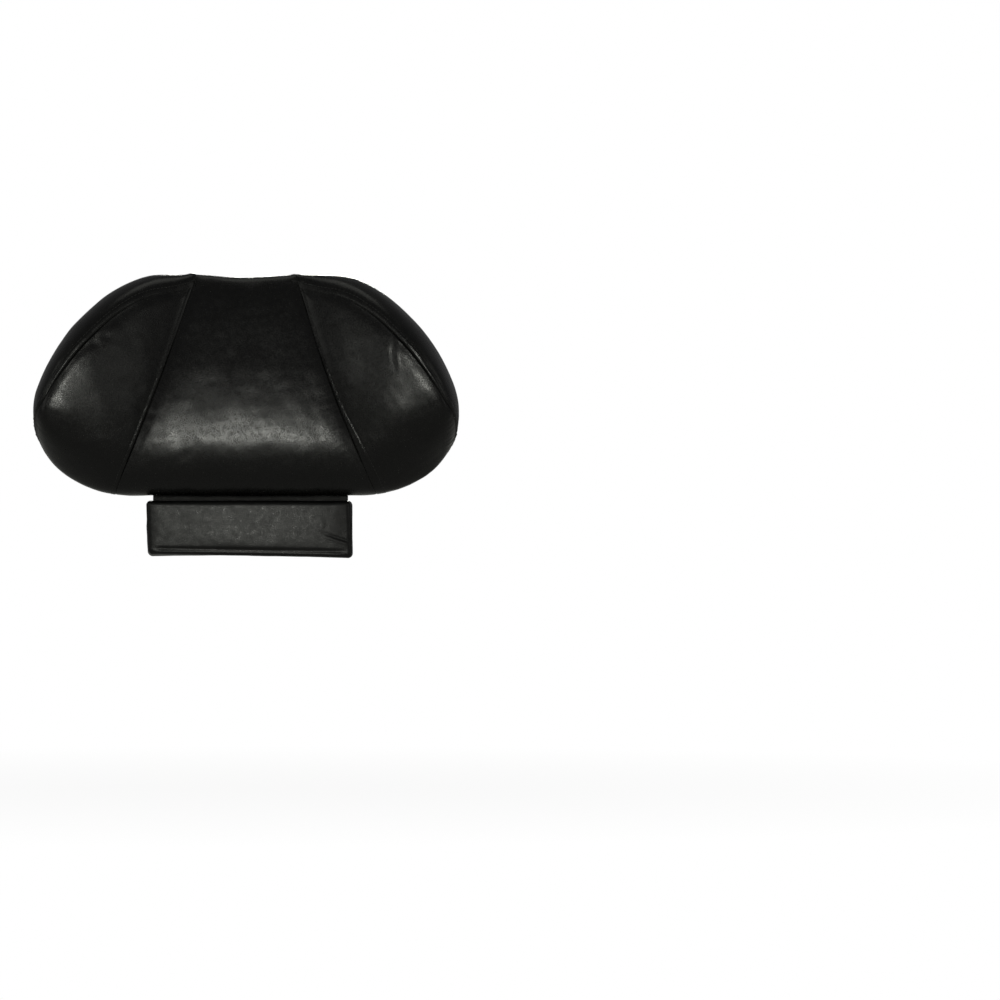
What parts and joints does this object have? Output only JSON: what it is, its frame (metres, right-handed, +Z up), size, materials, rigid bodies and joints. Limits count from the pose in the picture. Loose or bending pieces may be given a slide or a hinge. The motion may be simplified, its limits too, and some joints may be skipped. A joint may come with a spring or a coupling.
{
  "type": "top box backrest pad",
  "caption": "Padded backrest for a motorbike top box: a wide domed lumbar cushion with forward wings and sewn seams, and a slim box cushion hung below it on a flap.",
  "frame": {"origin": "middle of the main board's four tee nuts, on the board's rear face, which lies against the wall of the box", "axes": "+X to the right as seen from the front, +Y out of the rear face towards the box, +Z up; the cushion's front faces -Y"},
  "size_m": [0.4258, 0.0797, 0.2818],
  "materials": {
    "vinyl": "black grained vinyl, satin",
    "flap_vinyl": "black grained vinyl, matt",
    "foam": "open cell polyurethane foam",
    "plywood": "bare birch plywood",
    "zinc_steel": "zinc plated"
  },
  "bodies": {
    "root": {"main_foam": "foam", "main_board": "plywood", "main_cover_centre": "vinyl", "main_cover_wing_left": "vinyl", "main_cover_wing_right": "vinyl", "main_cover_gusset_left": "vinyl", "main_cover_gusset_right": "vinyl", "main_tee_nut_upper_left": "zinc_steel", "main_tee_nut_upper_right": "zinc_steel", "main_tee_nut_lower_left": "zinc_steel", "main_tee_nut_lower_right": "zinc_steel", "lower_foam": "foam", "lower_board": "plywood", "lower_cover": "vinyl", "lower_tee_nut_left": "zinc_steel", "lower_tee_nut_right": "zinc_steel", "connecting_flap": "flap_vinyl"}
  },
  "joints": []
}
